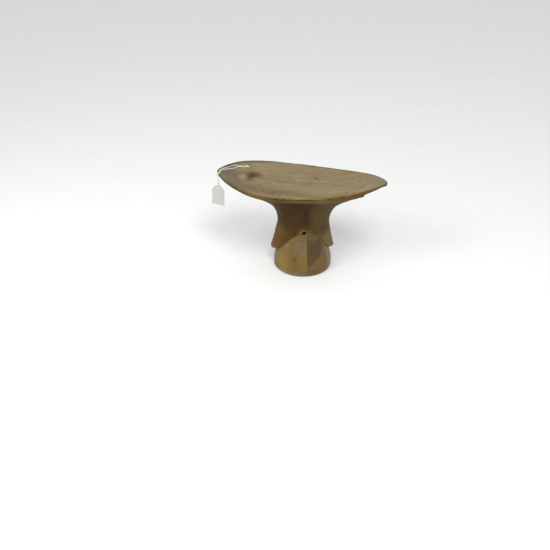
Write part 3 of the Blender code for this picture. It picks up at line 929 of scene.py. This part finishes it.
def mark_masks(skin):
    """The knot in the wood and the single marks on the top, with painted highlights by the knot and on
    the worn strip, and painted shade in the worm hole.
    """
    ring = from_spot(skin.points, KNOT_MARK, KNOT_MARK_HALF)
    pale = 0.85 * smooth(ring, 1.05, 0.45) + spots(skin.points, PALE_AND_HIGHLIGHT_MARKS)
    stain = 0.20 * bell(ring - 1.18, 0.20) + spots(skin.points, DARK_MARKS)
    stain += spots(skin.points, WEDGE) * (0.9 + 0.2 * skin.rough)
    skin.masks["pale"] = pale * skin.on_top
    skin.masks["stain"] += stain * skin.on_top


def rim_wear_and_highlight(skin):
    """The fresh wood above the chip, the worn edges of the rim, and a painted highlight along the near
    rim's lower edge.
    """
    masks = skin.masks
    fresh = band(skin.edge_x, 0.058, 0.083, 0.004) * smooth(skin.outer - skin.radius, 0.0040, 0.0016)
    fresh = fresh * smooth(-skin.edge_y, 0.010, 0.016)
    masks["fresh"] = fresh * smooth(skin.z - skin.top, -0.0030, -0.0012) * smooth(skin.rough, -0.7, 0.1)

    rim_edge = bell(np.hypot(skin.radius - skin.outer + RIM_WEAR / 2, skin.z - skin.top), 0.0015)
    # painted highlight along the near rim's lower edge
    low_edge_highlight = bell(np.hypot(skin.radius - skin.outer, skin.z - skin.bottom), 0.0011)
    middle = smooth(np.abs(skin.edge_x - 0.02), 0.080, 0.045)
    masks["wear"] += (0.09 + 0.05 * middle) * rim_edge + 0.30 * low_edge_highlight * skin.near_side * middle
    masks["wear"] += spots(skin.points, WORN_AND_HIGHLIGHT_MARKS) * skin.on_top


def hole_masks(skin):
    """The front hole's inside darkened as painted shade, and the dark smear beside its mouth."""
    hole, away = from_hole(skin.points)
    smear = np.linalg.norm(skin.points - hole - np.array((-0.0030, 0, -0.0014)), axis=1)
    # painted shade inside the hole
    inside = smooth(away, HOLE_RADIUS * 1.2, HOLE_RADIUS)
    skin.masks["stain"] = np.maximum.reduce([skin.masks["stain"], 0.94 * bell(smear, 0.0030), inside])


def write_masks(mesh, points, normals):
    """Where the wood is worn, dusty, stained and so on, and where shade, highlights and a reflection
    are painted, as one number per point.
    """
    skin = Skin(points, normals)
    facet = foot_facet(skin)
    column_stain_and_shade(skin, facet)
    column_warmth(skin)
    column_grey_and_highlight(skin, facet)
    column_wear(skin)
    tip_masks(skin, border_masks(skin))
    mark_masks(skin)
    rim_wear_and_highlight(skin)
    hole_masks(skin)
    skin.masks["grain_bend"] = spots(points, GRAIN_BEND)
    for name, values in skin.masks.items():
        mesh.attributes.new(name, "FLOAT", "POINT").data.foreach_set("value", np.clip(values, 0, 1))


def from_hole(points):
    """The middle of the front hole's mouth, and the distance of each point near it from its axis."""
    mouth = HOLE_OUT * float(waist_radius(HOLE_TURN))
    mouth[2] = HOLE_Z
    out = HOLE_OUT / np.linalg.norm(HOLE_OUT)
    offset = points - mouth
    depth = offset @ out
    away = np.linalg.norm(offset - depth[:, None] * out, axis=1)
    return mouth, np.where(np.abs(depth) < 2 * HOLE_DEPTH, away, 1.0)


def sink_hole(points):
    """Pushes the front hole in: steep ragged walls and a bottom, which hole_masks darkens with painted
    shade.
    """
    _, away = from_hole(points)
    ragged = HOLE_RADIUS * (1 + 0.16 * noise_at(points, (420, 420, 420), 9.0))
    return -HOLE_OUT * (HOLE_DEPTH * smooth(away / ragged, 1.0, 0.78))[:, None]


def carve_surface(mesh):
    """Hand work and age on the smooth shape: an uneven skin, blade marks, knocks and the knot."""
    points = read_vectors(mesh.vertices, "co")
    normals = read_vectors(mesh.vertex_normals, "vector")
    on_top = upward(points, normals)
    standing = smooth(points[:, 2], 0.0, 0.004)
    shift = 0.00026 * noise_at(points, (45, 45, 45)) * standing
    shift += 0.00009 * noise_at(points, (150, 150, 150), 3.0) * standing
    marks = scallops(points, (150, 150, 62))
    shift += 0.00050 * (marks - 0.3) * (1 - on_top) * standing
    shift += 0.00010 * (scallops(points, (42, 150, 90)) - 0.3) * on_top
    shift -= dent_marks(points)
    shift += spots(points, TOP_RELIEF) * on_top
    shift -= 0.00030 * bell(from_spot(points, KNOT_MARK, KNOT_MARK_HALF) - 1.2, 0.22) * on_top
    _, away = from_hole(points)
    shift -= 0.0007 * bell(away, HOLE_RADIUS * 1.5)
    points = points + normals * shift[:, None] + sink_hole(points)
    points[:, 2] = np.maximum(points[:, 2], 0)
    mesh.vertices.foreach_set("co", points.ravel())
    mesh.update()
    write_masks(mesh, points, normals)


def drill_worm_hole(piece):
    """Cuts a ragged hole in the top, with a crooked rod."""
    middle = Vector((*WORM_HOLE, float(top_height(*WORM_HOLE))))
    out = Vector((0.2, 0.1, 1))
    turn = out.to_track_quat("Z", "X").to_matrix().to_4x4()
    mesh = bmesh.new()
    bmesh.ops.create_cone(
        mesh, cap_ends=True, segments=28, radius1=WORM_RADIUS * 0.8, radius2=WORM_RADIUS * 1.12,
        depth=2 * WORM_DEPTH, matrix=Matrix.Translation(middle) @ turn,
    )
    for vertex in mesh.verts:
        away = vertex.co - middle
        away -= away.project(out)
        vertex.co += away * 0.16 * noise.noise(vertex.co * 700 + Vector((4, 0, 0)))
    plug = bmesh_object("plug", mesh)
    modify(piece, "BOOLEAN", operation="DIFFERENCE", solver="EXACT", object=plug)
    bpy.data.objects.remove(plug)


def carving(finish):
    mesh = grid_mesh(carving_grid(), (0, 0, 0), (0, 0, float(top_height(0.0, 0.0))))
    carve_surface(mesh)
    mesh.materials.append(finish)
    made = new_object("wooden_headrest", mesh)
    drill_worm_hole(made)
    made.data.name = "carved_headrest_skin"
    shade(made.data, 50)
    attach(made, "headrest")
    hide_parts("carved_headrest")
    return made


# ---------------- string


def smooth_line(route, step):
    """Points about a step apart on a smooth curve through the route's points."""
    points = [route[0]] + list(route) + [route[-1]]
    dense = []
    for a, b, c, d in zip(points, points[1:], points[2:], points[3:]):
        for t in np.arange(SPAN_STEPS) / SPAN_STEPS:
            bend = (2 * a - 5 * b + 4 * c - d) * t**2 + (3 * b - a - 3 * c + d) * t**3
            dense.append(b + ((c - a) * t + bend) / 2)
    dense.append(route[-1])
    steps = [(b - a).length for a, b in zip(dense, dense[1:])]
    lengths = np.concatenate(([0.0], np.cumsum(steps)))
    wanted = np.linspace(0, lengths[-1], max(2, round(lengths[-1] / step) + 1))
    columns = [np.interp(wanted, lengths, values) for values in zip(*dense)]
    return [Vector(place) for place in zip(*columns)]


def settled(line):
    """The line with its kinks rounded off, as a thread under its own weight rounds them; its ends stay."""
    for _ in range(SETTLE_PASSES):
        inner = [b + (a + c - 2 * b) * 0.25 for a, b, c in zip(line, line[1:], line[2:])]
        line = [line[0], *inner, line[-1]]
    return line


def rim_crossing(y):
    """The near rim's outer edge at a place near the left tip, and the way straight out of it."""
    turns = np.linspace(1.5 * math.pi, math.pi, OUTLINE_POINTS)
    turn = np.interp(y, outline(turns)[1], turns)
    before, edge, after = (Vector((*outline(turn + step), 0)) for step in (-0.01, 0, 0.01))
    along = after - before
    return edge, Vector((along.y, -along.x, 0)).normalized()


def arc(middle, first, second, turns):
    """Points round a middle: turned, in degrees, from one arm to the other and on."""
    return [middle + first * math.cos(turn) + second * math.sin(turn) for turn in np.radians(turns)]


def over_rim(y, lift):
    edge, outwards = rim_crossing(y)
    middle = edge + outwards * (RIM_STAND_OFF - RIM_BEND)
    middle.z = float(rim_top(edge.x)) + lift - RIM_BEND
    return arc(middle, Vector((0, 0, RIM_BEND)), outwards * RIM_BEND, (0, 30, 60, 90))


def hanging_start(y, z):
    edge, outwards = rim_crossing(y)
    place = edge + outwards * RIM_STAND_OFF
    place.z = z
    return place


def thread_place():
    rear, front = (hanging_start(y, THREAD_Z) for y in (REAR_CROSSING_Y, FRONT_CROSSING_Y))
    return (rear + front) / 2


def ticket_place(across, forward, up):
    """A place given from the thread: across the ticket, in front of it, up."""
    side = Vector((math.cos(TICKET_HEADING), math.sin(TICKET_HEADING), 0))
    front = Vector((side.y, -side.x, 0))
    return thread_place() + side * across + front * forward + Vector((0, 0, up))


def loop_route():
    """Down behind the ticket, round through its hole to the front, and up again."""
    rear_leg = [ticket_place(*place) for place in LOOP_LEG]
    front_leg = [ticket_place(-across, -forward, up) for across, forward, up in reversed(LOOP_LEG)]
    middle = ticket_place(0, 0, LOOP_BEND)
    forward = ticket_place(0, LOOP_BEND, LOOP_BEND) - middle
    bend = arc(middle, Vector((0, 0, -LOOP_BEND)), forward, range(-90, 91, 30))
    return rear_leg + bend + front_leg


def string_route(skin):
    """The whole thread: knot, rear strand, over the rim, through the ticket and back to the knot."""
    lift = STRING_DIAMETER / 2 + 0.0001

    def laid(x, y):
        hit = skin.ray_cast(Vector((x, y, 0.2)), Vector((0, 0, -1)))[0]
        return hit + Vector((0, 0, lift))

    def beside_knot(forward, side):
        x, y = Vector(KNOT_PLACE) + Matrix.Rotation(KNOT_HEADING, 2) @ Vector((forward, side))
        return laid(x, y) + Vector((0, 0, 0.0002))

    drop_z = float(rim_top(LEFT_TIP_X)) - RIM_THICK_LEFT
    halves = []
    for side, route, crossing in ((1, REAR_ROUTE, REAR_CROSSING_Y), (-1, FRONT_ROUTE, FRONT_CROSSING_Y)):
        tail = [beside_knot(forward, side * TAIL_SPACING / 2) for forward in TAIL_PLACES]
        top_run = [laid(x, y) for x, y in route]
        halves.append(tail + top_run + over_rim(crossing, lift) + [hanging_start(crossing, drop_z)])
    return halves[0] + loop_route() + halves[1][::-1]


def frames(line):
    """Each point of a line, with two directions square to the line there that don't twist round it."""
    last = len(line) - 1
    normal = (line[1] - line[0]).orthogonal().normalized()
    for i, place in enumerate(line):
        along = (line[min(i + 1, last)] - line[max(i - 1, 0)]).normalized()
        normal = (normal - along * normal.dot(along)).normalized()
        yield place, normal, along.cross(normal)


def tube(line, radius, sides, points, faces):
    """Adds a round tube with closed ends along a line to lists of points and faces."""
    first = len(points)
    last = first + (len(line) - 1) * sides
    for place, normal, side in frames(line):
        points += arc(place, normal * radius, side * radius, np.arange(sides) * 360 / sides)
    for row in range(first, last, sides):
        for k in range(sides):
            a = row + k
            b = row + (k + 1) % sides
            faces.append((a, b, b + sides, a + sides))
    faces.append(tuple(first + k for k in reversed(range(sides))))
    faces.append(tuple(last + k for k in range(sides)))


def plies(line, points, faces, diameter=STRING_DIAMETER):
    """Two strands twisted round each other along a line."""
    twisted = ([], [])
    travelled = 0.0
    before = line[0]
    for place, normal, side in frames(line):
        travelled += (place - before).length
        before = place
        angle = math.tau * travelled / STRING_LAY
        out = (normal * math.cos(angle) + side * math.sin(angle)) * diameter * PLY_OFFSET
        twisted[0].append(place + out)
        twisted[1].append(place - out)
    for strand in twisted:
        tube(strand, diameter * (0.5 - PLY_OFFSET), PLY_SIDES, points, faces)


def mesh_object(name, points, faces, finish):
    mesh = bpy.data.meshes.new(name)
    mesh.from_pydata(points, [], faces)
    shade(mesh, 60)
    mesh.materials.append(finish)
    return new_object(name, mesh)


def ticket_string(finish, skin):
    line = settled(smooth_line(string_route(skin), STRING_STEP))
    points = []
    faces = []
    plies(line, points, faces)
    return mesh_object("ticket_string", points, faces, finish), line


def knot(finish, skin):
    """An overhand knot pulled tight, with two short cut ends whose fibres have come apart."""
    middle = skin.ray_cast(Vector((*KNOT_PLACE, 0.2)), Vector((0, 0, -1)))[0]
    middle.z += KNOT_RADII[2]
    turn = Matrix.Rotation(KNOT_HEADING, 4, "Z")

    def placed(x, y, z):
        return middle + turn @ Vector((x, y, z))

    thread = STRING_DIAMETER * 0.95
    core = [size - thread / 2 for size in KNOT_RADII]
    line = []
    for t in np.arange(KNOT_STEPS) * math.tau / KNOT_STEPS:
        ring = 1 + 0.42 * math.cos(3 * t)
        along = core[0] * ring * math.cos(2 * t) / 1.42
        across = core[1] * ring * math.sin(2 * t) / 1.2
        line.append(placed(along, across, core[2] * math.sin(3 * t)))
    line += line[:2]
    points = []
    faces = []
    plies(line, points, faces, thread)
    chance = random.Random(5)
    for end in (-1, 1):
        root = placed(KNOT_RADII[0] * 0.6, end * 0.0004, -0.0002)
        tip = placed(KNOT_RADII[0] + 0.0013, end * 0.0009, -KNOT_RADII[2] + 0.0006)
        halfway = root.lerp(tip, 0.5) + Vector((0, 0, 0.0001))
        plies(smooth_line([root, halfway, tip], STRING_STEP), points, faces, thread * 0.9)
        for _ in range(STRAY_FIBRES):
            spread = [chance.uniform(low, high) for low, high in ((0.4, 1.1), (-0.7, 0.7), (-0.25, 0.5))]
            spread = Vector(spread) * 0.0009
            stray = [tip - spread * 0.3, tip + turn @ spread * 0.5, tip + turn @ spread]
            tube(smooth_line(stray, STRING_STEP), 0.00006, 5, points, faces)
    return mesh_object("tied_knot", points, faces, finish)


# ---------------- ticket


def cut_sheet(mesh, half, low, high):
    """The flat card, hanging from its hole: cut top corners, and cut up into small faces that can curl."""
    right_side = ((half, low), (half, high - TICKET_SHOULDER), (TICKET_TOP_WIDTH / 2, high))
    left_side = [(-across, up) for across, up in reversed(right_side)]
    outer = [Vector((*corner, 0)) for corner in (*right_side, *left_side)]
    reach = TICKET_HOLE_RADIUS
    turns = np.arange(TICKET_HOLE_SIDES) * 360 / TICKET_HOLE_SIDES
    hole = arc(HOLE_MIDDLE, Vector((reach, 0, 0)), Vector((0, reach, 0)), turns)
    edges = []
    for ring in (outer, hole):
        ring = [mesh.verts.new(place) for place in ring]
        edges += [mesh.edges.new(pair) for pair in zip(ring, ring[1:] + ring[:1])]
    bmesh.ops.triangle_fill(mesh, edges=edges, use_beauty=True, use_dissolve=False)
    for way, start, stop in ((Vector((1, 0, 0)), -half, half), (Vector((0, 1, 0)), low, high)):
        for at in np.arange(start + TICKET_GRID, stop, TICKET_GRID):
            everything = mesh.verts[:] + mesh.edges[:] + mesh.faces[:]
            bmesh.ops.bisect_plane(mesh, geom=everything, plane_co=way * at, plane_no=way, dist=1e-7)


def curl_sheet(mesh, half, low, high):
    """Curls the card and hangs it on the thread; returns how near each point is to an edge, 0 to 1."""
    handled = []
    for vertex in mesh.verts:
        across, up, _ = vertex.co
        low_share = (high - up) / TICKET_HEIGHT
        curl = 0.0011 * (across / half) ** 2 * low_share + 0.0006 * low_share**2
        corner = max(0.0, -across / half + low_share - 1.35)
        curl += 0.0022 * corner**2 + 0.00012 * noise.noise(vertex.co * 220)
        from_hole_edge = (vertex.co - HOLE_MIDDLE).length - TICKET_HOLE_RADIUS
        from_edge = min(half - abs(across), up - low, from_hole_edge)
        handled.append(math.exp(-max(0.0, from_edge) / 0.0005))
        vertex.co = ticket_place(across, curl, up)
    return handled


def ticket(finish):
    """A slightly curled card with cut top corners and a punched hole."""
    high = HOLE_MIDDLE.y + TICKET_HOLE_DEPTH
    sheet = (TICKET_WIDTH / 2, high - TICKET_HEIGHT, high)
    mesh = bmesh.new()
    cut_sheet(mesh, *sheet)
    handled = curl_sheet(mesh, *sheet)
    bmesh.ops.recalc_face_normals(mesh, faces=mesh.faces)
    made = bmesh_object("blank_ticket", mesh)
    made.data.attributes.new("handled", "FLOAT", "POINT").data.foreach_set("value", handled)
    made.data.materials.append(finish)
    modify(made, "SOLIDIFY", thickness=TICKET_THICKNESS, offset=0)
    edges = {"limit_method": "ANGLE", "angle_limit": math.radians(60)}
    modify(made, "BEVEL", width=TICKET_THICKNESS / 4, segments=2, **edges)
    shade(made.data, 40)
    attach(made, "ticket")
    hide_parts("paper_ticket")
    return made


def strung_ticket(carved):
    skin = BVHTree.FromObject(carved, bpy.context.evaluated_depsgraph_get())
    thread = cotton()
    tag = ticket(card())
    tied = knot(thread, skin)
    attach(tied, "headrest")
    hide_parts("string_knot")
    strand, line = ticket_string(thread, skin)
    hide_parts("string_rear_strand", "string_front_strand", "string_hanging_loop")
    # the places above and below the rim where the string bends over it
    _, outwards = rim_crossing((REAR_CROSSING_Y + FRONT_CROSSING_Y) / 2)
    start = thread_place() - outwards * RIM_BEND
    start.z = float(rim_top(LEFT_TIP_X)) + 0.0006
    end = thread_place()
    end.z = float(rim_top(LEFT_TIP_X)) - RIM_THICK_LEFT - 0.0010
    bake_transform(strand)
    path = line[::4] + [line[-1]]
    length = sum((b - a).length for a, b in zip(path, path[1:]))
    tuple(path[0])


def main():
    camera()
    carved = carving(wood())
    strung_ticket(carved)
    studio()


main()
